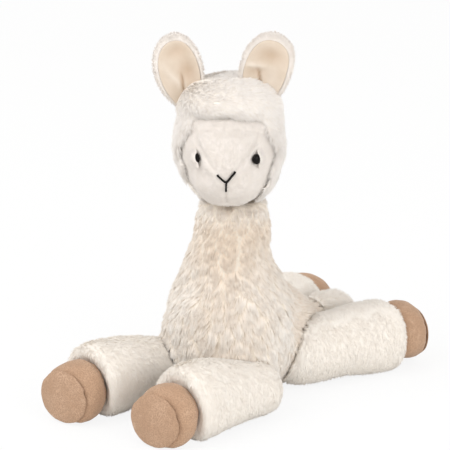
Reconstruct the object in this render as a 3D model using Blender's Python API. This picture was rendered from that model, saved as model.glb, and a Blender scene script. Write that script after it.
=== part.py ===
"""Plush llama, lying on its belly with its four floppy legs spread and its neck upright.

Metres, +Z up. The llama faces -Y, its left side is +X, and the origin is the middle of the
flat spot that the belly rests on. Every stuffed part is one solid: its cloth, its pile and
its filling together.
"""

import math

import bmesh
import bpy
from mathutils import Matrix, Vector

# Gap between pieces that are sewn or nested together
SEAM_GAP = 0.0004

# Torso and neck, to the outside of the pile
CHEST_HALF_WIDTH = 0.0605
CHEST_REACH = 0.0615
NECK_RADIUS = 0.0332
NECK_SET_BACK = 0.0045
NECK_SEAM_HEIGHT = 0.184
BACK_HEIGHT = 0.101
RUMP_REACH = 0.128
RUMP_HEIGHT = 0.064
RUMP_HALF_WIDTH = 0.040
BELLY_SINK = 0.006
# Crests of the long pile, out from and into the torso's surface, and how many go round it
TUFT_RELIEF = 0.0020
TUFTS_ROUND = 14
TUFTS_FROM_HEIGHT = 0.060

# Head: the hood of long pile that wraps the face
HEAD_TURN = math.radians(32)
HEAD_HEIGHT = 0.1145
HEAD_HALF_WIDTH = 0.0500
HEAD_HALF_DEPTH = 0.053

# Face: a ball of short pile with a blunt muzzle
FACE_RADIUS = 0.0410
FACE_FORWARD = 0.0150
FACE_HEIGHT = 0.0360
FOREHEAD_RISE = 0.0090
MUZZLE_REACH = 0.0075
MUZZLE_DROP = math.radians(6)
MUZZLE_SPREAD = math.radians(34)

# Safety eyes: a dome and a ridged stem outside, a lock washer inside
EYE_RADIUS = 0.0046
EYE_HEIGHT = 0.0028
EYE_SIDE = math.radians(36)
EYE_RISE = math.radians(17)
EYE_SINK = 0.0010
EYE_STEM_RADIUS = 0.0016
EYE_STEM_LENGTH = 0.0120
EYE_CLEARANCE = 0.0004
WASHER_RADIUS = 0.0062
WASHER_THICKNESS = 0.0012
WASHER_DEPTH = 0.0070

# Nose and mouth: a Y of thick black thread
STITCH_RADIUS = 0.0011
NOSE_ARM_SIDE = math.radians(9.5)
NOSE_ARM_RISE = math.radians(4)
NOSE_FORK_RISE = math.radians(-6)
MOUTH_STITCH_RISE = math.radians(-17)

# Ears: a cupped leaf of pile with a smooth lining
EAR_LENGTH = 0.064
EAR_HALF_WIDTH = 0.0232
EAR_THICKNESS = 0.0070
EAR_CUP = 0.0100
EAR_LINING_THICKNESS = 0.0020
EAR_SIDES = {"left": 0.0245, "right": 0.0350}
EAR_BASE_HEIGHT = 0.0860
EAR_BACK = 0.0040
EAR_LEAN = math.radians(15)
EAR_PITCH = math.radians(6)

# Legs and hooves
LEG_RADIUS = 0.0335
HIP_RADIUS = 0.0265
BROAD_HIP_RADIUS = 0.0325
LEG_SINK = 0.0025
HOOF_RADIUS = 0.0288
HOOF_LENGTH = 0.0340
HOOF_SINK = 0.0013
SOLE_RADIUS = 0.0228
SOLE_SINK = 0.0005
SOLE_DOME = 0.0050
CUFF_DEPTH = 0.0050
CUFF_ROUNDING = 0.0060

# Tail
TAIL_RADIUS = 0.0185
TAIL_LENGTH = 0.054
TAIL_ROOT_SIDE = 0.0110
TAIL_ROOT_HEIGHT = 0.044
TAIL_TIP_HEIGHT = 0.037
TAIL_SWAY = math.radians(14)

# Facets round a ring
BODY_SIDES = 42
BODY_STEPS = 3
ROWS_PER_TUFT = 2.8
HEAD_SIDES = 28
FACE_SIDES = 28
LEG_SIDES = 24
EAR_FACETS = 20
EAR_LINING_FACETS = 6
EYE_SIDES = 16
TAIL_SIDES = 16
STITCH_SIDES = 8

PLUSH_CREAM = ("plush_cream", (0.90, 0.84, 0.76), 0.95)
FACE_CREAM = ("face_cream", (0.91, 0.86, 0.79), 0.95)
LINING_CREAM = ("lining_cream", (0.86, 0.77, 0.65), 0.90)
HOOF_SUEDE = ("hoof_suede", (0.56, 0.38, 0.26), 0.90)
EYE_BLACK = ("eye_black", (0.012, 0.010, 0.010), 0.12)
WASHER_WHITE = ("washer_white", (0.85, 0.85, 0.83), 0.45)
THREAD_BLACK = ("thread_black", (0.02, 0.018, 0.018), 0.60)


# Scene helpers

def clear_scene():
    for obj in list(bpy.data.objects):
        bpy.data.objects.remove(obj, do_unlink=True)


def material_of(look):
    name, colour, roughness = look
    material = bpy.data.materials.get(name)
    if material is None:
        material = bpy.data.materials.new(name)
        material.use_nodes = True
        shader = material.node_tree.nodes["Principled BSDF"]
        shader.inputs["Base Color"].default_value = (*colour, 1.0)
        shader.inputs["Roughness"].default_value = roughness
        shader.inputs["Metallic"].default_value = 0.0
    return material


def add_empty(name, location, turn=0.0):
    empty = bpy.data.objects.new(name, None)
    bpy.context.scene.collection.objects.link(empty)
    empty.location = location
    empty.rotation_euler = (0.0, 0.0, turn)
    return empty


def add_object(name, mesh, look, parent=None):
    obj = bpy.data.objects.new(name, mesh)
    bpy.context.scene.collection.objects.link(obj)
    mesh.materials.append(material_of(look))
    obj.parent = parent
    return obj


def skin(rings, start_pole=None, end_pole=None):
    """A closed mesh through rings of equal count, each end a pole point or a flat cap."""
    mesh = bpy.data.meshes.new("skin")
    shape = bmesh.new()
    loops = [[shape.verts.new(point) for point in ring] for ring in rings]
    count = len(loops[0])
    for low, high in zip(loops, loops[1:]):
        for i in range(count):
            j = (i + 1) % count
            shape.faces.new((low[i], low[j], high[j], high[i]))
    for loop, pole in ((loops[0], start_pole), (loops[-1], end_pole)):
        if pole is None:
            shape.faces.new(loop)
            continue
        tip = shape.verts.new(pole)
        for i in range(count):
            shape.faces.new((loop[i], loop[(i + 1) % count], tip))
    bmesh.ops.recalc_face_normals(shape, faces=shape.faces)
    shape.to_mesh(mesh)
    shape.free()
    mesh.shade_smooth()
    mesh.set_sharp_from_angle(angle=math.radians(50))
    return mesh


def boolean(obj, other, operation):
    modifier = obj.modifiers.new(f"{operation.lower()}_{other.name}", "BOOLEAN")
    modifier.operation = operation
    modifier.solver = "EXACT"
    modifier.object = other


def hidden(obj):
    obj.hide_render = True
    obj.display_type = "WIRE"
    return obj


def grown_copy(obj, gap):
    """A hidden copy of obj, pushed out along its normals, that cuts a seat with that gap."""
    copy = obj.copy()
    copy.name = f"{obj.name}_seat_cutter"
    bpy.context.scene.collection.objects.link(copy)
    displace = copy.modifiers.new("gap", "DISPLACE")
    displace.mid_level = 0.0
    displace.strength = gap
    return hidden(copy)


# Curves

def through(stations, steps):
    """Catmull-Rom samples through rows of numbers, with steps samples from row to row."""
    rows = [stations[0], *stations, stations[-1]]
    samples = []
    for a, b, c, d in zip(rows, rows[1:], rows[2:], rows[3:]):
        for k in range(steps):
            t = k / steps
            samples.append(tuple(
                0.5 * (2 * q + (r - p) * t + (2 * p - 5 * q + 4 * r - s) * t * t
                       + (3 * q - p - 3 * r + s) * t ** 3)
                for p, q, r, s in zip(a, b, c, d)
            ))
    samples.append(tuple(stations[-1]))
    return samples


def superellipse(angle, power):
    """Unit superellipse point: power 2 is a circle, and more is boxier."""
    c, s = math.cos(angle), math.sin(angle)
    return (
        math.copysign(abs(c) ** (2 / power), c),
        math.copysign(abs(s) ** (2 / power), s),
    )


def angles(count):
    return [2 * math.pi * i / count for i in range(count)]


def on_floor(point):
    """Stuffed cloth flattens where it rests: nothing reaches below the floor."""
    return Vector((point[0], point[1], max(point[2], 0.0)))


# Torso and neck

def body_stations():
    """Rows of front (y, z), back (y, z), half width, from the rump's end to the neck's seam.

    The section planes fan out round the hollow between the neck and the back.
    """
    neck, reach, wide = NECK_RADIUS, CHEST_REACH, CHEST_HALF_WIDTH
    top, back, rump = NECK_SEAM_HEIGHT, BACK_HEIGHT, RUMP_HEIGHT
    end, sink = RUMP_REACH, BELLY_SINK
    rump_wide, set_back = RUMP_HALF_WIDTH, NECK_SET_BACK
    flare = 0.55 * neck + 0.45 * reach
    return [
        (0.97 * end, 0.26 * rump, 0.965 * end, 0.76 * rump, 0.45 * rump_wide),
        (0.90 * end, 0.07 * rump, 0.89 * end, 0.94 * rump, 0.80 * rump_wide),
        (0.76 * end, -0.5 * sink, 0.76 * end, 1.04 * rump, 0.92 * rump_wide),
        (0.50 * end, -sink, 0.60 * end, 0.5 * (back + 1.12 * rump), 0.43 * (rump_wide + wide)),
        (0.15 * end, -sink, 0.46 * end, 0.94 * back, 0.87 * wide),
        (-0.50 * reach, -sink, 0.40 * end, 1.01 * back, 0.97 * wide),
        (-0.86 * reach, 0.10 * top, 0.345 * end, 1.08 * back, wide),
        (-reach, 0.30 * top, 0.66 * flare + 0.09 * end, 0.60 * (top + 0.10 * back), 0.94 * wide),
        (-0.93 * reach, 0.475 * top, 0.90 * flare, 0.70 * top, 0.78 * wide),
        (-0.86 * flare, 0.62 * top, 0.85 * flare + 0.5 * set_back, 0.80 * top, 0.82 * flare),
        (0.8 * set_back - 1.04 * neck, 0.77 * top, 1.05 * neck + set_back, 0.89 * top, 1.02 * neck),
        (set_back - neck, 0.90 * top, neck + set_back, 0.95 * top, neck),
        (set_back - neck, top, neck + set_back, top, neck),
    ]


def tuft_relief(angle, row, rows, height):
    """Staggered crests of the pile. They fade out above the legs and at the neck seam."""
    fade = math.sin(math.pi * row / (rows - 1)) ** 0.5
    fade *= min(max(height / TUFTS_FROM_HEIGHT - 1, 0.0) / 0.35, 1.0)
    return (TUFT_RELIEF * fade * math.cos(TUFTS_ROUND * angle)
            * math.cos(2 * math.pi * row / ROWS_PER_TUFT))


def body_ring(station, row, rows):
    front_y, front_z, back_y, back_z, half_width = station
    middle = Vector((0.0, (front_y + back_y) / 2, (front_z + back_z) / 2))
    half = Vector((0.0, (back_y - front_y) / 2, (back_z - front_z) / 2))
    ring = []
    for angle in angles(BODY_SIDES):
        along, across = superellipse(angle, 2.15)
        outward = half * along + Vector((half_width * across, 0.0, 0.0))
        relief = tuft_relief(angle, row, rows, middle.z + outward.z)
        ring.append(on_floor(middle + outward + outward.normalized() * relief))
    return ring


def add_body():
    stations = through(body_stations(), BODY_STEPS)
    rings = [body_ring(station, row, len(stations)) for row, station in enumerate(stations)]
    rump_tip = (0.0, RUMP_REACH, 0.50 * RUMP_HEIGHT)
    return add_object("body", skin(rings, start_pole=rump_tip), PLUSH_CREAM)


# Head, face, eyes and nose, in the head's own frame: -Y is the way it looks

def head_rings():
    """Shares of height, half width, front reach and back reach, from the neck's seam up."""
    neck_share = NECK_RADIUS / HEAD_HALF_WIDTH
    neck_depth_share = NECK_RADIUS / HEAD_HALF_DEPTH
    stations = [
        (0.000, neck_share, neck_depth_share, 1.1 * neck_depth_share),
        (0.100, 0.820, 0.64, 0.84),
        (0.250, 0.950, 0.66, 0.97),
        (0.420, 1.000, 0.66, 1.01),
        (0.560, 1.000, 0.66, 1.02),
        (0.680, 0.990, 0.70, 1.00),
        (0.750, 0.950, 0.93, 0.95),
        (0.830, 0.860, 0.91, 0.86),
        (0.900, 0.700, 0.76, 0.71),
        (0.965, 0.430, 0.48, 0.44),
    ]
    rings = []
    for height, width, front, back in through(stations, 2):
        ring = []
        for angle in angles(HEAD_SIDES):
            along, across = superellipse(angle, 2.1)
            reach = (back if along > 0 else front) * HEAD_HALF_DEPTH
            ring.append(Vector((
                width * HEAD_HALF_WIDTH * across,
                reach * along,
                SEAM_GAP + height * (HEAD_HEIGHT - SEAM_GAP),
            )))
        rings.append(ring)
    return rings


def face_point(side, rise, lift=0.0):
    """A point of the face, or lift outside it, side round from the nose line and rise up.

    The ball has a fuller forehead, and is flat underneath, where it sits on the neck.
    """
    ray = Vector((math.cos(rise) * math.sin(side), -math.cos(rise) * math.cos(side),
                  math.sin(rise)))
    muzzle = Vector((0.0, -math.cos(MUZZLE_DROP), -math.sin(MUZZLE_DROP)))
    off = ray.angle(muzzle)
    bulge = MUZZLE_REACH * math.exp(-((off / MUZZLE_SPREAD) ** 2))
    bulge += FOREHEAD_RISE * math.sin(min(max(2 * rise, 0.0), math.pi / 2))
    point = Vector((0.0, -FACE_FORWARD, FACE_HEIGHT)) + ray * (FACE_RADIUS + bulge + lift)
    point.z = max(point.z, SEAM_GAP)
    return point


def face_frame(side, rise):
    """A matrix on the face whose +Z points straight out of it."""
    step = 0.02
    here = face_point(side, rise)
    across = face_point(side + step, rise) - here
    upward = face_point(side, rise + step) - here
    outward = across.cross(upward).normalized()
    turn = outward.to_track_quat("Z", "Y").to_matrix().to_4x4()
    return Matrix.Translation(here) @ turn


def face_rings():
    """Rings round the line through the muzzle, from the nose to the back of the ball."""
    rows = 14
    rings = []
    for row in range(1, rows):
        off = math.pi * row / rows
        ring = []
        for angle in angles(FACE_SIDES):
            x = math.sin(off) * math.sin(angle)
            z = math.sin(off) * math.cos(angle)
            y = -math.cos(off)
            ring.append(face_point(math.atan2(x, -y), math.asin(z)))
        rings.append(ring)
    return rings


def turned(profile, sides, close_start, close_end):
    """A solid of revolution about Z through rows of (radius, height)."""
    rings = [
        [Vector((radius * math.cos(a), radius * math.sin(a), height)) for a in angles(sides)]
        for radius, height in profile
    ]
    start = (0.0, 0.0, profile[0][1]) if close_start else None
    end = (0.0, 0.0, profile[-1][1]) if close_end else None
    return skin(rings, start, end)


def eye_mesh():
    """Domed head with a flat back, on a plain stem."""
    rows = 5
    dome = [
        (EYE_RADIUS * math.cos(a), EYE_HEIGHT * math.sin(a))
        for a in (math.pi / 2 * k / rows for k in range(rows))
    ]
    base = -EYE_SINK + SEAM_GAP
    profile = [(EYE_RADIUS * 0.25, EYE_HEIGHT * 0.985), *reversed(dome)]
    profile += [
        (EYE_RADIUS, base),
        (EYE_STEM_RADIUS, base),
        (EYE_STEM_RADIUS, -EYE_STEM_LENGTH),
    ]
    return turned(profile, EYE_SIDES, True, True)


def eye_seat_mesh():
    """What an eye's dome, stem and washer take out of the stuffed face."""
    seat = EYE_RADIUS + EYE_CLEARANCE
    bore = EYE_STEM_RADIUS + EYE_CLEARANCE
    pocket = WASHER_RADIUS + EYE_CLEARANCE
    low = -WASHER_DEPTH - WASHER_THICKNESS - EYE_CLEARANCE
    profile = [
        (seat, 2 * EYE_HEIGHT),
        (seat, -EYE_SINK),
        (bore, -EYE_SINK),
        (bore, -WASHER_DEPTH + EYE_CLEARANCE),
        (pocket, -WASHER_DEPTH + EYE_CLEARANCE),
        (pocket, low),
        (bore, low),
        (bore, -EYE_STEM_LENGTH - EYE_CLEARANCE),
    ]
    return turned(profile, EYE_SIDES, True, True)


def washer_mesh():
    """A flat ring that grips the stem inside the face."""
    hole = EYE_STEM_RADIUS + EYE_CLEARANCE
    top, low = -WASHER_DEPTH, -WASHER_DEPTH - WASHER_THICKNESS
    loop = [(WASHER_RADIUS, top), (WASHER_RADIUS, low), (hole, low), (hole, top)]
    mesh = bpy.data.meshes.new("washer")
    shape = bmesh.new()
    rings = [
        [shape.verts.new((r * math.cos(a), r * math.sin(a), z)) for a in angles(EYE_SIDES)]
        for r, z in loop
    ]
    for ring, following in zip(rings, rings[1:] + rings[:1]):
        for i in range(EYE_SIDES):
            j = (i + 1) % EYE_SIDES
            shape.faces.new((ring[i], ring[j], following[j], following[i]))
    bmesh.ops.recalc_face_normals(shape, faces=shape.faces)
    shape.to_mesh(mesh)
    shape.free()
    return mesh


def thread(points):
    """A stitch: a round thread through points, with rounded ends."""
    rings = []
    last = len(points) - 1
    for i, point in enumerate(points):
        ahead = points[min(i + 1, last)] - points[max(i - 1, 0)]
        turn = ahead.to_track_quat("Z", "Y").to_matrix()
        radius = STITCH_RADIUS * (0.75 if i in (0, last) else 1.0)
        rings.append([
            point + turn @ Vector((radius * math.cos(a), radius * math.sin(a), 0.0))
            for a in angles(STITCH_SIDES)
        ])
    start = points[0] + (points[0] - points[1]).normalized() * 0.5 * STITCH_RADIUS
    end = points[-1] + (points[-1] - points[-2]).normalized() * 0.5 * STITCH_RADIUS
    return skin(rings, start, end)


def stitch_points(first, last, count):
    """Points just proud of the face, from (side, rise) to (side, rise)."""
    lift = STITCH_RADIUS + SEAM_GAP
    return [
        face_point(
            first[0] + (last[0] - first[0]) * k / count,
            first[1] + (last[1] - first[1]) * k / count,
            lift,
        )
        for k in range(count + 1)
    ]


def add_nose(parent):
    """The V of the nose and the stroke under it, joined into one Y."""
    fork = (0.0, NOSE_FORK_RISE)
    left_arm = stitch_points((NOSE_ARM_SIDE, NOSE_ARM_RISE), fork, 4)
    right_arm = stitch_points(fork, (-NOSE_ARM_SIDE, NOSE_ARM_RISE), 4)
    nose = add_object("nose_stitch", thread(left_arm + right_arm[1:]), THREAD_BLACK, parent)
    above = (0.0, NOSE_FORK_RISE + 0.004)
    mouth = thread(stitch_points(above, (0.0, MOUTH_STITCH_RISE), 4))
    stroke = hidden(add_object("mouth_stroke", mouth, THREAD_BLACK, parent))
    boolean(nose, stroke, "UNION")


def add_head_group(head_frame):
    head = add_object("head", skin(head_rings(), end_pole=(0.0, 0.0, HEAD_HEIGHT)),
                      PLUSH_CREAM, head_frame)
    nose_pole = face_point(0.0, 0.0)
    back_pole = face_point(math.pi, 0.0)
    face = add_object("face", skin(face_rings(), nose_pole, back_pole), FACE_CREAM, head_frame)
    boolean(head, grown_copy(face, SEAM_GAP), "DIFFERENCE")
    for name, side in (("left", 1), ("right", -1)):
        place = face_frame(side * EYE_SIDE, EYE_RISE)
        parts = (
            (f"eye_{name}", eye_mesh(), EYE_BLACK),
            (f"eye_washer_{name}", washer_mesh(), WASHER_WHITE),
            (f"eye_seat_{name}", eye_seat_mesh(), FACE_CREAM),
        )
        for part_name, mesh, look in parts:
            mesh.transform(place)
            part = add_object(part_name, mesh, look, head_frame)
            if part_name.startswith("eye_seat"):
                boolean(face, hidden(part), "DIFFERENCE")
    add_nose(head_frame)
    return head


# Ears, in a frame at the ear's root: +Z runs to the tip, -Y is the open side

def ear_half_width(along):
    """Half width at a share of the length: narrow at the root, round at the tip."""
    widest = 0.56
    if along > widest:
        return EAR_HALF_WIDTH * math.sqrt(max(0.0, 1 - ((along - widest) / (1 - widest)) ** 2.2))
    rise = math.sin(math.pi / 2 * along / widest)
    return EAR_HALF_WIDTH * (0.52 + 0.48 * rise)


def ear_cup(x, along):
    """How far the leaf curls forward, off its middle line."""
    across = x / EAR_HALF_WIDTH
    deeper_at_root = 1.0 + 1.2 * (1 - along) ** 2
    return -EAR_CUP * deeper_at_root * across ** 2 + 0.10 * EAR_LENGTH * along ** 2


def ear_rings():
    """Lens-shaped sections of a cupped leaf, from the root to the tip."""
    rows = 11
    rings = []
    for row in range(rows):
        along = 0.985 * row / (rows - 1)
        half = ear_half_width(along)
        ring = []
        for angle in angles(EAR_FACETS):
            x = half * math.cos(angle)
            y = ear_cup(x, along) + 0.5 * EAR_THICKNESS * math.sin(angle)
            ring.append(Vector((x, y, along * EAR_LENGTH)))
        rings.append(ring)
    return rings


def lining_ring(ring):
    """A puffed strip just in front of the middle of the leaf's open side."""
    side_facets = (EAR_FACETS // 2 - EAR_LINING_FACETS) // 2
    strip = ring[EAR_FACETS // 2 + side_facets:EAR_FACETS - side_facets + 1]
    laid = [point - Vector((0.0, 1.5 * SEAM_GAP, 0.0)) for point in strip]
    puffed = []
    for k, point in enumerate(laid):
        puff = 0.35 + 0.65 * math.sin(math.pi * k / EAR_LINING_FACETS)
        puffed.append(point - Vector((0.0, EAR_LINING_THICKNESS * puff, 0.0)))
    return laid + puffed[::-1]


def add_ears(head_frame, head):
    cutter = grown_copy(head, SEAM_GAP)
    for name, side in (("left", 1), ("right", -1)):
        place = (
            Matrix.Translation((side * EAR_SIDES[name], EAR_BACK, EAR_BASE_HEIGHT))
            @ Matrix.Rotation(side * EAR_LEAN, 4, "Y")
            @ Matrix.Rotation(EAR_PITCH, 4, "X")
        )
        rings = ear_rings()
        for part_name, part_rings, look in (
            (f"ear_{name}", rings, PLUSH_CREAM),
            (f"ear_lining_{name}", [lining_ring(ring) for ring in rings[:-1]], LINING_CREAM),
        ):
            mesh = skin(part_rings)
            mesh.transform(place)
            boolean(add_object(part_name, mesh, look, head_frame), cutter, "DIFFERENCE")


# Legs and hooves, each in a frame at its cuff: -Y runs out to the hoof

HOOF_CENTRE = HOOF_RADIUS - HOOF_SINK
SOLE_CENTRE = SOLE_RADIUS - SOLE_SINK
HOOF_SPAN = CUFF_DEPTH + HOOF_LENGTH
SEAT_RADIUS = 0.865 * HOOF_RADIUS

# For each leg: hip (x, y), cuff (x, y), the bearings of the hoof and of its slanted sole from -Y
# towards +X, how full the leg is, its radius at the hip, and how far its hoof is off the floor
LEGS = {
    "front_left": ((0.0560, -0.0330), (0.0350, -0.1220), -10, 5, 1.0, HIP_RADIUS, 0.0),
    "front_right": ((-0.0400, -0.0300), (-0.0637, -0.1255), -10, 4, 1.0, HIP_RADIUS, 0.0),
    "hind_left": ((0.0350, 0.0420), (0.0838, 0.1385), 158, 158, 1.0, BROAD_HIP_RADIUS, 0.0060),
    "hind_right": ((-0.0430, 0.0620), (-0.0385, 0.1680), 184, 184, 0.93, HIP_RADIUS, 0.0),
}


def heading_of(bearing):
    return Vector((math.sin(math.radians(bearing)), -math.cos(math.radians(bearing)), 0.0))


def upright_ring(centre, heading, half_width, half_height):
    """A ring in the upright plane across a heading, flattened on the floor."""
    side = Vector((-heading.y, heading.x, 0.0)).normalized()
    return [
        on_floor(centre + side * half_width * math.cos(a)
                 + Vector((0.0, 0.0, half_height * math.sin(a))))
        for a in angles(LEG_SIDES)
    ]


def leg_path(hip, cuff, heading):
    """Quadratic curve from hip to cuff that leaves the cuff along heading."""
    reach = 0.5 * (cuff - hip).length
    bend = cuff - heading * reach
    steps = 8
    path = []
    for k in range(steps + 1):
        t = k / steps
        point = hip * (1 - t) ** 2 + bend * 2 * t * (1 - t) + cuff * t * t
        ahead = (bend - hip) * (1 - t) + (cuff - bend) * t
        path.append((t, point, ahead.normalized()))
    return path


def leg_mesh(hip, cuff, heading, fullness, hip_radius, hoof_lift):
    """A bent tube with a rounded hip end, and at its cuff a shallow seat for the hoof."""
    path = leg_path(hip, cuff - heading * CUFF_ROUNDING, heading)
    full_radius = LEG_RADIUS * fullness
    rings = []
    for t, point, ahead in path:
        swell = math.sin(math.pi / 2 * min(1.0, t * 1.25))
        radius = hip_radius + (full_radius - hip_radius) * swell
        point.z = radius - LEG_SINK
        rings.append(upright_ring(point, ahead, 1.03 * radius, radius))
    hip_ring = rings[0]
    middle = sum(hip_ring, Vector()) / len(hip_ring)
    hip_tip = middle - path[0][2] * 0.75 * hip_radius
    rounded = []
    for turn in (62, 32):
        a = math.radians(turn)
        rounded.append([
            on_floor(middle + (p - middle) * math.cos(a) + (hip_tip - middle) * math.sin(a))
            for p in hip_ring
        ])
    for turn in (35, 65, 88):
        a = math.radians(turn)
        inset = CUFF_ROUNDING * (1 - math.cos(a))
        centre = cuff - heading * CUFF_ROUNDING * (1 - math.sin(a))
        centre.z = full_radius - LEG_SINK
        rings.append(upright_ring(centre, heading, 1.03 * full_radius - inset,
                                  full_radius - inset))
    seat = SEAT_RADIUS + SEAM_GAP
    for depth in (0.0, CUFF_DEPTH):
        centre = cuff - heading * depth
        centre.z = HOOF_CENTRE + hoof_lift
        rings.append(upright_ring(centre, heading, seat, seat))
    return skin(rounded + rings, start_pole=hip_tip)


def hoof_profile():
    """(distance out from the bottom of the seat, radius) of the suede wall."""
    return [
        (SEAM_GAP, 0.84 * HOOF_RADIUS),
        (CUFF_DEPTH, SEAT_RADIUS - SEAM_GAP),
        (0.30 * HOOF_SPAN, 0.955 * HOOF_RADIUS),
        (0.50 * HOOF_SPAN, HOOF_RADIUS),
        (0.70 * HOOF_SPAN, 0.97 * HOOF_RADIUS),
        (0.83 * HOOF_SPAN, 0.89 * HOOF_RADIUS),
        (HOOF_SPAN - SOLE_DOME, SOLE_RADIUS + 0.0006),
    ]


def sole_profile():
    """(distance out from the bottom of the seat, radius) of the domed sole."""
    base = HOOF_SPAN - SOLE_DOME + SEAM_GAP
    return [
        (base, SOLE_RADIUS),
        (base + 0.30 * SOLE_DOME, 0.97 * SOLE_RADIUS),
        (base + 0.70 * SOLE_DOME, 0.72 * SOLE_RADIUS),
        (base + 0.92 * SOLE_DOME, 0.38 * SOLE_RADIUS),
    ]


def hoof_part_mesh(profile, cuff, bearing, sole_bearing, lift, tip=None):
    """Rings that turn and sink from the cuff's plane to the sole's plane."""
    base = HOOF_SPAN - SOLE_DOME

    def centre_and_heading(out):
        share = min(out, base) / base
        heading = heading_of(bearing + (sole_bearing - bearing) * share)
        centre = cuff + heading_of(bearing) * (min(out, base) - CUFF_DEPTH)
        centre += heading * max(0.0, out - base)
        centre.z = lift + HOOF_CENTRE + (SOLE_CENTRE - HOOF_CENTRE) * share ** 2
        return centre, heading

    rings = []
    for out, radius in profile:
        centre, heading = centre_and_heading(out)
        rings.append(upright_ring(centre, heading, radius, radius))
    return skin(rings, end_pole=None if tip is None else centre_and_heading(tip)[0])


def add_legs(body):
    cutter = grown_copy(body, SEAM_GAP)
    for name, (hip, cuff, bearing, sole_bearing, fullness, hip_radius, lift) in LEGS.items():
        hip_point, cuff_point = Vector((*hip, 0.0)), Vector((*cuff, 0.0))
        leg_skin = leg_mesh(hip_point, cuff_point, heading_of(bearing), fullness, hip_radius,
                            lift)
        boolean(add_object(f"leg_{name}", leg_skin, PLUSH_CREAM), cutter, "DIFFERENCE")
        wall = hoof_part_mesh(hoof_profile(), cuff_point, bearing, sole_bearing, lift)
        add_object(f"hoof_{name}", wall, HOOF_SUEDE)
        sole = hoof_part_mesh(sole_profile(), cuff_point, bearing, sole_bearing, lift,
                              HOOF_SPAN + SEAM_GAP)
        add_object(f"sole_{name}", sole, HOOF_SUEDE)


# Tail

def add_tail(body):
    heading = Vector((math.sin(TAIL_SWAY), math.cos(TAIL_SWAY), 0.0))
    root = Vector((TAIL_ROOT_SIDE, 0.91 * RUMP_REACH, TAIL_ROOT_HEIGHT))
    shape = [(0.0, 0.80), (0.18, 0.95), (0.40, 1.0), (0.62, 0.96), (0.80, 0.78), (0.93, 0.48)]
    rings = []
    side = Vector((heading.y, -heading.x, 0.0))
    for along, share in shape:
        centre = root + heading * TAIL_LENGTH * along
        centre.z += (TAIL_TIP_HEIGHT - TAIL_ROOT_HEIGHT) * along ** 2
        radius = TAIL_RADIUS * share
        rings.append([
            on_floor(centre + side * radius * math.cos(a)
                     + Vector((0.0, 0.0, radius * math.sin(a))))
            for a in angles(TAIL_SIDES)
        ])
    tip = root + heading * TAIL_LENGTH
    tip.z = TAIL_TIP_HEIGHT
    tail = add_object("tail", skin(rings, end_pole=tip), PLUSH_CREAM)
    boolean(tail, grown_copy(body, SEAM_GAP), "DIFFERENCE")


def main():
    clear_scene()
    body = add_body()
    head_frame = add_empty("head_frame", (0.0, 0.0, NECK_SEAM_HEIGHT), HEAD_TURN)
    head = add_head_group(head_frame)
    add_ears(head_frame, head)
    add_legs(body)
    add_tail(body)


main()
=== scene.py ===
"""Looks of the plush llama: stuffed skins, grown pile, suede hooves, eyes, stitching and studio.

Metres, in the same frame as the CAD solids. Each soft solid is copied, remeshed, filled out by
a short cloth simulation with inside pressure, and then covered with pile: closed spikes of
three sides, combed and clumped. Their corners carry normals close to the skin's, so light
rolls over the pile softly. The pile's UV map holds a tone across (u) and the way from root to
tip (v).
"""

import math

import bmesh
import bpy
import numpy as np
from mathutils import Matrix, Vector
from mathutils.bvhtree import BVHTree
from mathutils.kdtree import KDTree


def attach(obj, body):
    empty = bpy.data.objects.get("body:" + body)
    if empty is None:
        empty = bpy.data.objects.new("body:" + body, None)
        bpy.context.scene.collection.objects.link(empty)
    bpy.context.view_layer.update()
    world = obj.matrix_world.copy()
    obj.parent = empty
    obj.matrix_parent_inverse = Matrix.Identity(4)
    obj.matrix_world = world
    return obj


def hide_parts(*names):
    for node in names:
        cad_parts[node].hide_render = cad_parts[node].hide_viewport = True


UP = np.array((0.0, 0.0, 1.0))
LEGS = ("front_left", "front_right", "hind_left", "hind_right")

# The head as the construction has it: its seam, the way it looks, and the middle of the face
HEAD_TURN = math.radians(32)
NECK_SEAM_HEIGHT = 0.184
FACE_FORWARD = 0.015
FACE_HEIGHT = 0.036
LOOK = np.array((math.sin(HEAD_TURN), -math.cos(HEAD_TURN), 0.0))
HEAD_SIDE = np.array((math.cos(HEAD_TURN), math.sin(HEAD_TURN), 0.0))
FACE_CENTRE = np.array((0.0, 0.0, NECK_SEAM_HEIGHT + FACE_HEIGHT)) + FACE_FORWARD * LOOK

# Least heights over the floor: of a skin as it fills out, of a finished skin, and of pile
CLOTH_LIFT = 0.0012
SKIN_LIFT = 0.0008
PILE_LIFT = 0.0004

# Cloth simulation of the skins, which stay as they are up to HELD_REACH from their seams
CLOTH_FRAMES = 14
CLOTH_PRESSURE = 2.5
CLOTH_STIFFNESS = 18
CLOTH_BENDING = 0.8
WRINKLE_PASSES = 10
HELD_REACH = 0.003

# Pile: how deep its roots are sunk, the corners of a spike's root, and how its tone varies
ROOT_DEPTH = 0.0006
SPIKE_CORNERS = ((-1.0, -0.45), (1.0, -0.45), (0.0, 0.75))
PATCH_SIZE = 0.035
PATCH_TONE = 0.12
TUFT_TONE = 0.10
SPIKE_TONE = 0.08


# Numpy helpers

def unit(rows):
    return rows / np.maximum(np.linalg.norm(rows, axis=-1, keepdims=True), 1e-9)


def dot(a, b):
    return np.sum(a * b, axis=-1, keepdims=True)


def ramp(value, low, high):
    """Smooth step from 0 at low to 1 at high."""
    t = np.clip((value - low) / (high - low), 0.0, 1.0)
    return t * t * (3 - 2 * t)


def waves(points, size, seed):
    """A smooth random field, about -1 to 1, with features about size across."""
    rng = np.random.default_rng(seed)
    total = np.zeros(len(points))
    for _ in range(8):
        direction = rng.normal(size=3)
        direction /= np.linalg.norm(direction)
        pitch = 2 * math.pi / (size * rng.uniform(0.8, 1.7))
        total += np.sin(points @ direction * pitch + rng.uniform(0, 2 * math.pi))
    return total / 3.5


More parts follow.
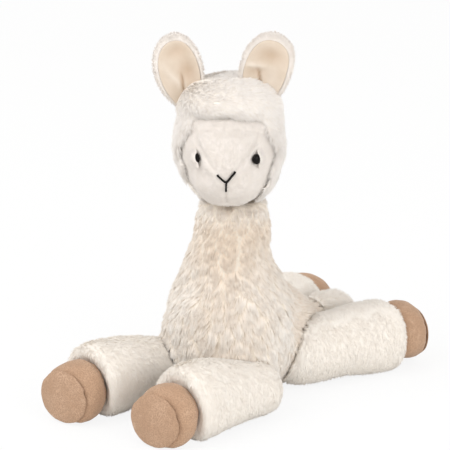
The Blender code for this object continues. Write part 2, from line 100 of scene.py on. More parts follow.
def fetched(items, name, width, kind=np.float32):
    """One property of all of a mesh's items, a row each."""
    flat = np.empty(width * len(items), kind)
    items.foreach_get(name, flat)
    return flat.reshape(-1, width)


def coordinates(mesh):
    return fetched(mesh.vertices, "co", 3).astype(float)


def vertex_normals(mesh):
    return fetched(mesh.vertex_normals, "vector", 3).astype(float)


def set_coordinates(mesh, points):
    mesh.vertices.foreach_set("co", points.astype(np.float32).ravel())
    mesh.update()


def triangles_of(mesh):
    mesh.calc_loop_triangles()
    return fetched(mesh.loop_triangles, "vertices", 3, np.int32)


def neighbour_mean(mesh, values):
    """Mean of each vertex's neighbours' values."""
    a, b = fetched(mesh.edges, "vertices", 2, np.int32).T
    total = np.zeros_like(values)
    count = np.zeros((len(values), 1))
    np.add.at(total, a, values[b])
    np.add.at(total, b, values[a])
    np.add.at(count, a, 1.0)
    np.add.at(count, b, 1.0)
    return total / np.maximum(count, 1.0)


# Objects

def link(name, mesh):
    obj = bpy.data.objects.new(name, mesh)
    bpy.context.scene.collection.objects.link(obj)
    return obj


def triangle_object(name, points, triangles):
    points, triangles = np.array(points, np.float32), np.array(triangles, np.int32)
    mesh = bpy.data.meshes.new(name)
    mesh.vertices.add(len(points))
    mesh.vertices.foreach_set("co", points.ravel())
    mesh.loops.add(triangles.size)
    mesh.loops.foreach_set("vertex_index", triangles.ravel())
    mesh.polygons.add(len(triangles))
    starts = np.arange(0, triangles.size, 3, dtype=np.int32)
    mesh.polygons.foreach_set("loop_start", starts)
    mesh.update(calc_edges=True)
    mesh.shade_smooth()
    return link(name, mesh)


def applied(obj):
    """Turns an object's modifiers into its mesh."""
    bpy.context.view_layer.update()
    graph = bpy.context.evaluated_depsgraph_get()
    mesh = bpy.data.meshes.new_from_object(obj.evaluated_get(graph))
    obj.modifiers.clear()
    old = obj.data
    obj.data = mesh
    bpy.data.meshes.remove(old)


def solid_tree(*nodes):
    """A search tree over the solids of some nodes."""
    points, faces = [], []
    for node in nodes:
        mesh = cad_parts[node].data
        start = len(points)
        points += [v.co.copy() for v in mesh.vertices]
        faces += [[start + i for i in p.vertices] for p in mesh.polygons]
    return BVHTree.FromPolygons(points, faces)


def distances(points, tree):
    return np.array([tree.find_nearest(Vector(p))[3] for p in points])


def clear_of(points, low, high, *nodes):
    """0 up to low away from the solids of some nodes, and 1 from high outwards."""
    return ramp(distances(points, solid_tree(*nodes)), low, high)


def swirled(points, normals, axis, size, seed):
    """Sideways swirls of the pile, round an axis and over the skin."""
    return waves(points, size, seed)[:, None] * unit(np.cross(normals, axis) + 1e-6)


def merged_copy(name, node):
    """A copy of a CAD solid with its split vertices joined."""
    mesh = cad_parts[node].data.copy()
    mesh.materials.clear()
    shape = bmesh.new()
    shape.from_mesh(mesh)
    bmesh.ops.remove_doubles(shape, verts=shape.verts, dist=1e-6)
    shape.to_mesh(mesh)
    shape.free()
    return link(name, mesh)


def remeshed(name, node, voxel, smooth):
    """A copy of a CAD solid as an even mesh of quads, with a number of smoothing passes."""
    obj = merged_copy(name, node)
    remesh = obj.modifiers.new("remesh", "REMESH")
    remesh.mode = "VOXEL"
    remesh.voxel_size = voxel
    applied(obj)
    points = coordinates(obj.data)
    for _ in range(smooth):
        points += 0.5 * (neighbour_mean(obj.data, points) - points)
    set_coordinates(obj.data, points)
    return obj


def filled_out(obj, hold, cap):
    """Swells a skin by up to cap with a cloth simulation. hold is 1 where the skin is kept."""
    points = coordinates(obj.data)
    cloth = obj.modifiers.new("cloth", "CLOTH")
    settings = cloth.settings
    settings.use_pressure = True
    settings.uniform_pressure_force = CLOTH_PRESSURE
    settings.tension_stiffness = CLOTH_STIFFNESS
    settings.compression_stiffness = CLOTH_STIFFNESS
    settings.bending_stiffness = CLOTH_BENDING
    settings.quality = 5
    settings.effector_weights.gravity = 0.0
    cloth.point_cache.frame_start = 1
    cloth.point_cache.frame_end = CLOTH_FRAMES
    scene = bpy.context.scene
    for number in range(1, CLOTH_FRAMES + 1):
        scene.frame_set(number)
    applied(obj)
    scene.frame_set(1)
    moved = coordinates(obj.data) - points
    for _ in range(WRINKLE_PASSES):
        moved = neighbour_mean(obj.data, moved)
    reach = np.linalg.norm(moved, axis=1, keepdims=True)
    moved *= np.minimum(1.0, cap / np.maximum(reach, 1e-9)) * (1 - hold[:, None])
    points = points + moved
    points[:, 2] = np.maximum(points[:, 2], CLOTH_LIFT)
    set_coordinates(obj.data, points)


def subdivided(obj, times=1):
    for _ in range(times):
        modifier = obj.modifiers.new("subdivision", "SUBSURF")
        modifier.levels = modifier.render_levels = 1
        applied(obj)


def pushed(obj, heights):
    """Moves each vertex along its normal."""
    mesh = obj.data
    points = coordinates(mesh) + vertex_normals(mesh) * heights[:, None]
    points[:, 2] = np.maximum(points[:, 2], SKIN_LIFT)
    set_coordinates(mesh, points)
    mesh.shade_smooth()


def stuffed_skin(node, voxel, smooth, others, free_reach, cap):
    """A filled-out skin for a solid, its points, and how far they are from the others.

    The skin is held at its seams with the others, and is free from free_reach outwards.
    """
    skin = remeshed(f"{node}_skin", node, voxel, smooth)
    gap = distances(coordinates(skin.data), others)
    filled_out(skin, 1 - ramp(gap, HELD_REACH, free_reach), cap)
    subdivided(skin)
    points = coordinates(skin.data)
    return skin, points, distances(points, others)


def finished(obj, material, replaced=()):
    """Gives a piece its material and body, and hides the solids that it stands for."""
    obj.data.materials.clear()
    obj.data.materials.append(material)
    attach(obj, "root")
    if replaced:
        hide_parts(*replaced)


def capped_triangles(rows, ring):
    """Triangles of a closed shape: rings of points in rows, then its foot and its tip."""
    triangles = []
    last = (rows - 1) * ring
    foot, tip = rows * ring, rows * ring + 1
    for k in range(ring):
        following = (k + 1) % ring
        for start in range(0, last, ring):
            a, b = start + k, start + following
            triangles += [(a, b, b + ring), (a, b + ring, a + ring)]
        triangles += [(following, k, foot), (last + k, last + following, tip)]
    return np.array(triangles)


# Materials

def node_material(name):
    material = bpy.data.materials.new(name)
    material.use_nodes = True
    tree = material.node_tree
    return material, tree, tree.nodes["Principled BSDF"]


def feed(tree, node, **inputs):
    """Sets a node's inputs to numbers or colours, or links them to sockets."""
    for key, value in inputs.items():
        socket = node.inputs[key.replace("_", " ")]
        if isinstance(value, bpy.types.NodeSocket):
            tree.links.new(value, socket)
        else:
            socket.default_value = (*value, 1.0) if isinstance(value, tuple) else value


def mixed_colour(tree, factor, first, second, blend="MIX"):
    node = tree.nodes.new("ShaderNodeMix")
    node.data_type = "RGBA"
    node.blend_type = blend
    feed(tree, node, Factor=factor, A=first, B=second)
    return node.outputs["Result"]


def three_tones(tree, factor, first, middle, last, halfway):
    """A colour ramp through three colours, the middle one at halfway."""
    node = tree.nodes.new("ShaderNodeValToRGB")
    stops = node.color_ramp.elements
    stops[0].color = (*first, 1.0)
    stops[1].color = (*last, 1.0)
    stops.new(halfway).color = (*middle, 1.0)
    feed(tree, node, Fac=factor)
    return node.outputs["Color"]


def noise_value(tree, scale, detail, low, high, roughness=0.55):
    """Object-space noise stretched to 0 to 1 between two levels."""
    place = tree.nodes.new("ShaderNodeTexCoord")
    noise = tree.nodes.new("ShaderNodeTexNoise")
    feed(tree, noise, Vector=place.outputs["Object"], Scale=scale, Detail=detail,
         Roughness=roughness)
    levels = tree.nodes.new("ShaderNodeMapRange")
    levels.interpolation_type = "SMOOTHSTEP"
    feed(tree, levels, Value=noise.outputs["Fac"], From_Min=low, From_Max=high)
    return levels.outputs["Result"]


def bumped(tree, height, strength, distance):
    bump = tree.nodes.new("ShaderNodeBump")
    feed(tree, bump, Height=height, Strength=strength, Distance=distance)
    return bump.outputs["Normal"]


def pile_material(name, root, middle, tip, dim):
    """Pile coloured by its UV map: v runs from root to tip, and u from dim to bright tones."""
    material, tree, shader = node_material(name)
    place = tree.nodes.new("ShaderNodeUVMap")
    place.uv_map = "OFBake"
    split = tree.nodes.new("ShaderNodeSeparateXYZ")
    feed(tree, split, Vector=place.outputs["UV"])
    # Roots darker than tips: painted shade deep in the pile
    bright = three_tones(tree, split.outputs["Y"], root, middle, tip, 0.45)
    darker = mixed_colour(tree, 1.0, bright, dim, "MULTIPLY")
    feed(tree, shader, Base_Color=mixed_colour(tree, split.outputs["X"], darker, bright),
         Roughness=0.85, Specular_IOR_Level=0.15)
    return material


def backing_material(name, dark, light):
    """The knitted backing that shows between the roots of the pile."""
    material, tree, shader = node_material(name)
    patches = noise_value(tree, 90.0, 4.0, 0.35, 0.65)
    fibres = noise_value(tree, 1400.0, 3.0, 0.3, 0.7)
    feed(tree, shader, Base_Color=mixed_colour(tree, patches, dark, light),
         Normal=bumped(tree, fibres, 0.5, 0.0006), Roughness=0.95, Specular_IOR_Level=0.1,
         Sheen_Weight=0.1, Sheen_Roughness=0.5)
    return material


def suede_material(name, dark, light, worn):
    """Suedette with darker grain, and rubbed patches in the worn colour."""
    material, tree, shader = node_material(name)
    patches = noise_value(tree, 55.0, 5.0, 0.35, 0.68)
    grain = noise_value(tree, 900.0, 4.0, 0.36, 0.64, 0.7)
    rubbed = noise_value(tree, 140.0, 3.0, 0.58, 0.95)
    base = mixed_colour(tree, patches, dark, light)
    speckled = mixed_colour(tree, grain, tuple(0.80 * c for c in dark), base)
    feed(tree, shader, Base_Color=mixed_colour(tree, rubbed, speckled, worn),
         Normal=bumped(tree, grain, 0.35, 0.0004), Roughness=0.92, Specular_IOR_Level=0.15,
         Sheen_Weight=0.35, Sheen_Roughness=0.45, Sheen_Tint=(1.0, 0.85, 0.72))
    return material


def velour_material(name, pale, middle, dark):
    """Short velour, with painted shade in its folds and painted highlight on its ridges, by the
    mesh's fold attribute.
    """
    material, tree, shader = node_material(name)
    fold = tree.nodes.new("ShaderNodeAttribute")
    fold.attribute_name = "fold"
    tones = three_tones(tree, fold.outputs["Fac"], pale, middle, dark, 0.5)
    patches = noise_value(tree, 70.0, 3.0, 0.35, 0.68)
    nap = noise_value(tree, 1800.0, 3.0, 0.35, 0.65)
    mottled = mixed_colour(tree, patches, tones, (0.95, 0.94, 0.92), "MULTIPLY")
    feed(tree, shader, Base_Color=mottled, Normal=bumped(tree, nap, 0.25, 0.0003),
         Roughness=0.85, Specular_IOR_Level=0.15, Sheen_Weight=0.2, Sheen_Roughness=0.4)
    return material


def plastic_material(name, colour, second, roughness, coat, specular=0.5):
    """Moulded plastic with faint flow marks."""
    material, tree, shader = node_material(name)
    flow = noise_value(tree, 260.0, 2.0, 0.3, 0.7)
    feed(tree, shader, Base_Color=mixed_colour(tree, flow, colour, second),
         Normal=bumped(tree, flow, 0.05, 0.0001), Roughness=roughness,
         Specular_IOR_Level=specular, Coat_Weight=coat, Coat_Roughness=0.03)
    return material


def thread_material(name, dark, light):
    material, tree, shader = node_material(name)
    fibres = noise_value(tree, 2600.0, 2.0, 0.3, 0.7)
    feed(tree, shader, Base_Color=mixed_colour(tree, fibres, dark, light),
         Normal=bumped(tree, fibres, 0.4, 0.0002), Roughness=0.75, Specular_IOR_Level=0.15,
         Sheen_Weight=0.05, Sheen_Roughness=0.4)
    return material


# Pile

def grow(name, skin, material, weights, comb, *, count, length, width, lift, clump, pull, seed,
         jitter=0.07, round_normals=1.2, tone=0.5):
    """Covers a skin with closed spikes of three sides.

    weights thins the pile out at each vertex. It lies along comb(roots, normals) where lift is
    0 and stands up where it is 1. length is a number or a function of the roots, clump is the
    distance between tufts, and pull is how far tips are drawn to their tuft's tip. tone is the
    brightness, from 0 to 1, as a number or a function of the roots. round_normals is how
    strongly each spike is shaded as a round strand.
    """
    rng = np.random.default_rng(seed)
    mesh = skin.data
    points, normals, faces = coordinates(mesh), vertex_normals(mesh), triangles_of(mesh)
    a, b, c = (points[faces[:, k]] for k in range(3))
    area = 0.5 * np.linalg.norm(np.cross(b - a, c - a), axis=1)
    chance = area * weights[faces].mean(axis=1)
    picks = rng.choice(len(faces), count, p=chance / chance.sum())
    u, v = rng.random(count), rng.random(count)
    outside = u + v > 1
    u[outside], v[outside] = 1 - u[outside], 1 - v[outside]
    shares = np.stack((1 - u - v, u, v), axis=1)[:, :, None]
    root = (points[faces[picks]] * shares).sum(axis=1)
    normal = unit((normals[faces[picks]] * shares).sum(axis=1))

    flow = comb(root, normal)
    flow = unit(flow - dot(flow, normal) * normal)
    reach = (length(root) if callable(length) else length) * rng.uniform(0.75, 1.2, count)
    reach = reach[:, None]
    course = unit(lift * normal + (1 - lift) * flow + jitter * rng.normal(size=(count, 3)))
    tip = root + reach * unit(course + 0.25 * (1 - lift) * flow)

    tufts = min(count, max(8, int(chance.sum() / clump ** 2)))
    tree = KDTree(tufts)
    for i in range(tufts):
        tree.insert(root[i], i)
    tree.balance()
    lead = np.array([tree.find(p)[1] for p in root])
    strength = pull * rng.uniform(0.6, 1.0, count)[:, None]
    tip += strength * (tip[lead] - tip)

    across = unit(np.cross(course, normal) + 1e-6)
    turn = rng.uniform(-0.6, 0.6, count)[:, None]
    out = unit(np.cross(across, course))
    side = unit(across + turn * out)
    out = unit(np.cross(side, course))
    half = (0.5 * width * rng.uniform(0.7, 1.3, count))[:, None]
    rows, upper, lower = [], [], []
    for x, y in SPIKE_CORNERS:
        radial = x * side + y * out
        rows.append(root - ROOT_DEPTH * normal + half * radial)
        upper.append(unit(normal + round_normals * unit(radial)))
        lower.append(unit(0.5 * x * side - out))
    rows.append(tip)
    upper.append(unit(normal + 0.5 * round_normals * out))
    lower.append(-out)
    cloud = np.stack(rows, axis=1).reshape(-1, 3)
    cloud[:, 2] = np.maximum(cloud[:, 2], PILE_LIFT)

    shade = tone(root) if callable(tone) else tone
    shade = shade + PATCH_TONE * waves(root, PATCH_SIZE, seed + 50)
    shade += SPIKE_TONE * rng.normal(size=count) + TUFT_TONE * waves(root[lead], 0.006, seed + 51)
    shade = np.clip(shade, 0.02, 0.95)
    across_uv = shade[:, None] + np.array((0.0, 0.012, 0.024, 0.012))
    along_uv = np.broadcast_to(np.array((0.0, 0.02, 0.04, 1.0)), across_uv.shape)
    uv = np.stack((across_uv, along_uv), axis=2).reshape(-1, 2)

    # Each spike's root, underside and two upper sides
    pattern = np.array(((0, 1, 2), (1, 0, 3), (2, 1, 3), (0, 2, 3)))
    triangles = (np.arange(count)[:, None, None] * 4 + pattern[None]).reshape(-1, 3)
    shading = [(lower if face == 1 else upper)[corner]
               for face in range(4) for corner in pattern[face]]
    shading = np.stack(shading, axis=1).reshape(-1, 3)
    pile = triangle_object(name, cloud, triangles)
    layer = pile.data.uv_layers.new(name="OFBake")
    layer.data.foreach_set("uv", uv[triangles.ravel()].astype(np.float32).ravel())
    pile.data.normals_split_custom_set(shading.astype(np.float32))
    finished(pile, material)


# Torso and neck

# How far the skin is drawn in for the pile, and drawn in further at the collar
BODY_INSET = 0.0024
COLLAR_INSET = 0.0007
# The chest is fuller on its right and slimmer on its left, around one height
SHOULDER_HEIGHT = 0.132
SHOULDER_BAND = 0.022
FULLER_RIGHT = 0.0042
SLIMMER_LEFT = 0.0034
# Pile on the chest, and how much shorter it is at the top of the neck
CHEST_PILE = 0.0092
NECK_PILE_LESS = 0.0032


def comb_body(points, normals):
    """Down the neck and the chest, backwards along the back, in loose swirls."""
    behind = ramp(points[:, 1], 0.02, 0.06)[:, None]
    low = 1 - ramp(points[:, 2], 0.09, 0.14)[:, None]
    flow = -UP + 1.3 * behind * low * np.array((0.0, 1.0, 0.0))
    return flow + 0.15 * swirled(points, normals, UP, 0.030, 7)


def body_length(points):
    """Longest on the chest, shorter at the top of the neck."""
    return CHEST_PILE - NECK_PILE_LESS * ramp(points[:, 2], 0.11, 0.17)


def body_tone_and_painted_shade(points):
    """Darker under the chin and down the chest's middle (beige and painted shade); painted light
    at the collar.
    """
    middle = np.exp(-((points @ HEAD_SIDE) / 0.022) ** 2) * (points @ LOOK > 0)
    collar = ramp(points[:, 2], 0.158, 0.174)
    # The collar term is painted light; the neck and middle terms are partly painted shade
    return 0.80 - 0.50 * ramp(points[:, 2], 0.10, 0.155) - 0.30 * middle + 0.50 * collar


def make_body():
    others = solid_tree("head", "face", "tail", *[f"leg_{leg}" for leg in LEGS])
    skin, points, gap = stuffed_skin("body", 0.0062, 7, others, 0.015, 0.0025)
    lumps = 0.0012 * waves(points, 0.030, 3) + 0.0005 * waves(points, 0.012, 4)
    across = points @ HEAD_SIDE
    level = np.exp(-((points[:, 2] - SHOULDER_HEIGHT) / SHOULDER_BAND) ** 2)
    shoulder = level * (FULLER_RIGHT * ramp(-across, 0.0, 0.03)
                        - SLIMMER_LEFT * ramp(across, 0.0, 0.03))
    collar = COLLAR_INSET * ramp(points[:, 2], 0.160, 0.172)
    pushed(skin, (shoulder - BODY_INSET) * ramp(gap, 0.0, 0.008) + lumps - collar)
    finished(skin, CREAM_BACKING_PAINTED_SHADE, ["body"])
    points = coordinates(skin.data)
    weights = ramp(distances(points, others), 0.0002, 0.0016) * ramp(points[:, 2], 0.0, 0.008)
    shaggy = 1 - ramp(points[:, 1] - 0.9 * np.maximum(points[:, 2] - 0.085, 0), 0.012, 0.028)
    grow("body_pile_long", skin, CREAM_PILE, weights * shaggy, comb_body, count=41000,
         length=body_length, width=0.0011, lift=0.24, clump=0.0085, pull=0.45, jitter=0.06,
         seed=11, tone=body_tone_and_painted_shade)
    # The short pile on the back gets a dimmer tone: painted shade on that side of the body
    grow("body_pile_short", skin, CREAM_PILE, weights * (1 - shaggy), comb_body, count=12000,
         length=0.0070, width=0.0012, lift=0.34, clump=0.0050, pull=0.4, jitter=0.12,
         seed=12, tone=0.4)


# Head

# How far the hood is drawn in for the pile, and how much less at its crown
HOOD_INSET = 0.0032
CROWN_INSET_LESS = 0.0020
# How the hood's lip rolls over the face
LIP_SLIDE = 0.0170
LIP_RISE = 0.0020
LIP_PASSES = 8
# How far the hood's lower sides are drawn in
NARROWER_RIGHT = 0.0054
NARROWER_LEFT = 0.0032
HOOD_PILE = 0.0050


def comb_head(points, normals):
    """Down all round, in a whorl over the crown, and inwards at the rim of the hood."""
    crown = ramp(points[:, 2], 0.250, 0.285)[:, None]
    whorl = unit(np.cross(UP, points + 0.025 * LOOK))
    swirl = swirled(points, normals, UP, 0.025, 17)
    arm = points - FACE_CENTRE
    inward = -unit(arm - dot(arm, LOOK) * LOOK)
    rim = 1 - clear_of(points, 0.002, 0.006, "face")
    return -UP + 1.2 * crown * whorl + 0.2 * swirl + 1.5 * rim[:, None] * inward


def slid_over_face(points, normals, gap):
    """Rolls the sides of the hood forwards over the face ball, as a rounded lip."""
    arm = points - FACE_CENTRE
    reach = np.linalg.norm(arm, axis=1, keepdims=True)
    ray = arm / reach
    beside = ramp(np.abs(ray @ HEAD_SIDE), 0.50, 0.85) * ramp(ray @ LOOK, -0.50, -0.15)
    beside *= ramp(points[:, 2], 0.186, 0.200)
    slide = beside * (1 - ramp(gap, 0.002, 0.018))
    outer = (dot(normals, ray)[:, 0] > 0.1) * ramp(gap, 0.0004, 0.0012)
    rise = beside * outer * (1 - ramp(gap, 0.003, 0.008))
    forward = unit(LOOK - dot(LOOK, ray) * ray)
    turned = unit(ray + (LIP_SLIDE / reach) * slide[:, None] * forward)
    return FACE_CENTRE + (reach + LIP_RISE * rise[:, None]) * turned


def make_head():
    others = solid_tree("face", "body", "ear_left", "ear_right")
    skin, points, gap = stuffed_skin("head", 0.004, 2, others, 0.012, 0.002)
    inset = HOOD_INSET - CROWN_INSET_LESS * ramp(points[:, 2], 0.262, 0.285)
    pushed(skin, -inset * ramp(gap, 0.0, 0.008) + 0.0008 * waves(points, 0.022, 8))
    face_tree = solid_tree("face")
    to_face = distances(points, face_tree)
    rolled = slid_over_face(coordinates(skin.data), vertex_normals(skin.data), to_face)
    loose = 0.5 * (1 - ramp(to_face, 0.005, 0.013))[:, None]
    for _ in range(LIP_PASSES):
        rolled += loose * (neighbour_mean(skin.data, rolled) - rolled)
    across = rolled @ HEAD_SIDE
    narrower = (1 - ramp(rolled[:, 2], 0.188, 0.228)) * ramp(np.abs(across), 0.015, 0.040)
    narrower *= np.where(across < 0, NARROWER_RIGHT, NARROWER_LEFT) * np.sign(across)
    set_coordinates(skin.data, rolled - narrower[:, None] * HEAD_SIDE)
    finished(skin, SOFT_BACKING, ["head"])
    points = coordinates(skin.data)
    to_face = distances(points, face_tree)
    weights = clear_of(points, 0.0008, 0.003, "body", "ear_left", "ear_right")
    weights *= ramp(to_face, 0.0006, 0.0012) * (1 + ramp(to_face, 0.006, 0.003))

    def head_length(roots):
        """Longer at the rim, and longest over the brow."""
        brow = ramp(roots[:, 2], 0.232, 0.242)
        rim = 1 - ramp(distances(roots, face_tree), 0.002, 0.012)
        return HOOD_PILE + (0.0018 + 0.0018 * brow) * rim

    grow("head_pile", skin, HEAD_PILE, weights, comb_head, count=41000, length=head_length,
         width=0.0009, lift=0.30, clump=0.0035, pull=0.15, seed=21)


# Face

# How far the skin is drawn in for the pile, and the reliefs that shape it
FACE_INSET = 0.0014
BROW_SEAM_DEPTH = 0.0019
SOCKET_DEPTH = 0.0016
CHEEK_RELIEF = 0.0016
DIMPLE_DEPTH = 0.0014
CHIN_CREASE_DEPTH = 0.0018
FOREHEAD_RELIEF = 0.0010
FACE_PILE_LENGTH = 0.0030
EYE_DOME_RADIUS = 0.0046
EYE_DOME_HEIGHT = 0.0028
# The cloth over the outer side of each eye: which side that is along the eye's side axis, how
# far from the middle its edge is, and how much that edge leans
EYE_LIDS = {"left": (1, 0.0013, 0.04), "right": (-1, -0.0025, 0.28)}
LID_REACH = 0.0082
LID_THICKNESS = 0.0007


def face_angles(points):
    """Bearing from the nose line and rise above it, in degrees, as seen from the ball's centre."""
    ray = unit(points - FACE_CENTRE)
    side = np.degrees(np.arctan2(ray @ HEAD_SIDE, ray @ LOOK))
    rise = np.degrees(np.arcsin(np.clip(ray[:, 2], -1, 1)))
    return side, rise


def brow_seam(side, rise):
    """Nearness to the seams that run from the temples past the eyes down to the nose."""
    place = 6.5 + 0.85 * rise + 0.0045 * rise ** 2
    off = (np.abs(side) - place) * np.cos(np.radians(40)) / 2.6
    return np.exp(-off ** 2) * ramp(rise, 1, 8) * (1 - 0.5 * ramp(rise, 30, 50))


def eye_frame(name):
    """Middle of the dome's foot, and its axes: out, across and up."""
    points = coordinates(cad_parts[f"eye_{name}"].data)
    washer = coordinates(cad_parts[f"eye_washer_{name}"].data).mean(axis=0)
    out = unit(points.mean(axis=0) - washer)
    apex = washer + out * ((points - washer) @ out).max()
    across = unit(np.cross(UP, out))
    return apex - EYE_DOME_HEIGHT * out, out, across, np.cross(out, across)


def comb_face(points, normals):
    """Away from the nose."""
    return points - (FACE_CENTRE + 0.05 * LOOK) + 0.004 * UP


def make_face():
    skin = remeshed("face_skin", "face", 0.0028, 2)
    subdivided(skin)
    points = coordinates(skin.data)
    side, rise = face_angles(points)
    cheek = np.exp(-((np.abs(side) - 27) / 14) ** 2 - ((rise + 14) / 13) ** 2)
    dimple = np.exp(-((np.abs(side) - 20) / 4) ** 2 - ((rise + 5) / 6) ** 2)
    crease = np.exp(-(side / 2.4) ** 2) * (1 - ramp(rise, -20, -15)) * ramp(rise, -48, -38)
    lobe = np.exp(-(side / 24) ** 2 - ((rise - 22) / 20) ** 2)
    socket = np.zeros(len(points))
    for name in EYE_LIDS:
        off = np.linalg.norm(points - eye_frame(name)[0], axis=1)
        socket += np.exp(-(off / 0.0095) ** 2)
    heights = -FACE_INSET - BROW_SEAM_DEPTH * brow_seam(side, rise) - SOCKET_DEPTH * socket
    heights += CHEEK_RELIEF * cheek - DIMPLE_DEPTH * dimple - CHIN_CREASE_DEPTH * crease
    heights += FOREHEAD_RELIEF * lobe
    nearness = 1 - clear_of(points, 0.001, 0.009, "head")
    heights += (0.0024 + 0.0022 * ramp(rise, 10, 25)) * nearness * ramp(rise, -25, -5)
    heights -= 0.0012 * ramp(np.abs(side), 38, 62) * (1 - ramp(rise, -25, 5))
    heights += 0.0004 * waves(points, 0.014, 9)
    pushed(skin, heights)
    finished(skin, FACE_BACKING, ["face"])
    points = coordinates(skin.data)
    side, rise = face_angles(points)
    weights = clear_of(points, 0.0010, 0.0022, "eye_left", "eye_right")
    weights *= clear_of(points, 0.0002, 0.001, "head", "body")
    weights *= 1 - 0.5 * brow_seam(side, rise)
    weights *= ramp((points - FACE_CENTRE) @ LOOK, -0.022, -0.012)

    def face_length(roots):
        """Longer where it meets the hood."""
        return FACE_PILE_LENGTH + 0.0022 * (1 - clear_of(roots, 0.001, 0.004, "head"))

    grow("face_pile", skin, FACE_PILE, weights, comb_face, count=21000, length=face_length,
         width=0.0007, lift=0.33, clump=0.003, pull=0.2, seed=31)


def make_lid(name, seed):
    """A fold of the face's cloth that lies over the outer side of an eye."""
    foot, out, across, up = eye_frame(name)
    side, edge, slant = EYE_LIDS[name]
    tree = solid_tree("face")
    rows, columns = 10, 30
    top = []
    for row in range(rows):
        share = row / (rows - 1)
        for column in range(columns):
            y = LID_REACH * math.sin(0.5 * math.pi * (2 * column / (columns - 1) - 1)) * 0.985
            start = edge + side * slant * -y
            outer = math.sqrt(LID_REACH ** 2 - y ** 2)
            x = start + (outer - start) * share
            plane = foot + side * x * across + y * up
            hit = tree.ray_cast(Vector(plane + 0.02 * out), Vector(-out))[0]
            cloth = (np.array(hit) - foot) @ out - 0.0022
            off = math.hypot(x, y) / EYE_DOME_RADIUS
            dome = EYE_DOME_HEIGHT * math.sqrt(max(0.0, 1 - off ** 2)) + 0.0005
            blend = 1 / (1 + math.exp((cloth - dome) / 0.0003))
            top.append(plane + (blend * dome + (1 - blend) * cloth) * out)
    top = np.array(top)
    count = len(top)
    points = np.vstack((top, top - LID_THICKNESS * out))
    grid = np.arange(count).reshape(rows, columns)
    triangles = []
    cells = (grid[:-1, :-1], grid[:-1, 1:], grid[1:, 1:], grid[1:, :-1])
    for a, b, c, d in np.stack(cells, axis=2).reshape(-1, 4).tolist():
        faces = [(a, b, c), (a, c, d)]
        triangles += faces + [(k + count, j + count, i + count) for i, j, k in faces]
    rim = [*grid[:, 0], *grid[-1, 1:], *grid[-2::-1, -1], *grid[0, -2:0:-1]]
    for a, b in zip(rim, rim[1:] + rim[:1]):
        triangles += [(a, b, b + count), (a, b + count, a + count)]
    triangles = np.array(triangles)
    if side > 0:
        triangles = triangles[:, ::-1]
    lid = triangle_object(f"eye_{name}_lid", points, triangles)
    finished(lid, FACE_BACKING)
    weights = np.zeros(2 * count)
    weights[columns:count] = 1.0
    grow(f"eye_{name}_lid_pile", lid, FACE_PILE, weights,
         lambda roots, normals: side * np.tile(across, (len(roots), 1)), count=1100,
         length=0.0022, width=0.0006, lift=0.30, clump=0.003, pull=0.2, round_normals=2.5,
         seed=seed)


def make_eye(name):
    """A glossy dome turned about the axis of its stem."""
    foot, out, across, up = eye_frame(name)
    rows, sides = 10, 48
    points = []
    for row in range(rows):
        rise = 0.5 * math.pi * row / rows
        for k in range(sides):
            turn = 2 * math.pi * k / sides
            ring = math.cos(turn) * across + math.sin(turn) * up
            height = EYE_DOME_HEIGHT * math.sin(rise) - (0.0012 if row == 0 else 0.0)
            points.append(foot + EYE_DOME_RADIUS * math.cos(rise) * ring + height * out)
    points += [foot - 0.0012 * out, foot + EYE_DOME_HEIGHT * out]
    eye = triangle_object(f"eye_{name}_dome", points, capped_triangles(rows, sides))
    finished(eye, EYE_PLASTIC, [f"eye_{name}"])


# Nose and mouth

# The stitches' shared end, each stitch's other end and how thick it is beside the usual
# thread. Ends are given as bearing and rise in degrees.
NOSE_FORK = (1.0, -5.8)
NOSE_STITCHES = (((-8.6, 2.0), 0.95), ((10.0, 5.4), 1.10), ((0.6, -16.6), 0.90))
THREAD_LIFT = 0.0007
STITCH_DIVE = 0.0024
LAY_RADIUS = 0.00048
PLY_RADIUS = 0.00060
PLIES = 3
PLY_SIDES = 8
TWIST_LENGTH = 0.0042
STITCH_STEPS = 22


def face_spot(tree, side, rise, lift):
    """A point over the face at a bearing and rise in degrees."""
    side, rise = math.radians(side), math.radians(rise)
    ray = math.cos(rise) * (math.cos(side) * LOOK + math.sin(side) * HEAD_SIDE)
    ray = Vector(ray + math.sin(rise) * UP)
    spot = tree.ray_cast(Vector(FACE_CENTRE) + 0.2 * ray, -ray)[0]
    return np.array(spot + lift * ray)


def thread_mesh(path, size):
    """Points and triangles of a thread laid up from twisted plies."""
    points, triangles = [], []
    count = len(path)
    turns = np.linalg.norm(path[-1] - path[0]) / TWIST_LENGTH
    tangent = unit(np.gradient(path, axis=0))
    normal = unit(path - FACE_CENTRE)
    across = unit(np.cross(tangent, normal))
    normal = np.cross(across, tangent)
    for ply in range(PLIES):
        start = len(points)
        turn = 2 * math.pi * (ply / PLIES + turns * np.linspace(0, 1, count))[:, None]
        centre = path + LAY_RADIUS * size * (np.cos(turn) * across + np.sin(turn) * normal)
        for k in range(PLY_SIDES):
            angle = 2 * math.pi * k / PLY_SIDES
            ring = math.cos(angle) * across + math.sin(angle) * normal
            points += list(centre + PLY_RADIUS * size * ring)
        ends = len(points)
        points += [centre[0], centre[-1]]
        for k in range(PLY_SIDES):
            a, b = start + k * count, start + (k + 1) % PLY_SIDES * count
            for i in range(count - 1):
                triangles += [(a + i, a + i + 1, b + i), (b + i, a + i + 1, b + i + 1)]
            triangles += [(a, b, ends), (b + count - 1, a + count - 1, ends + 1)]
    return points, triangles


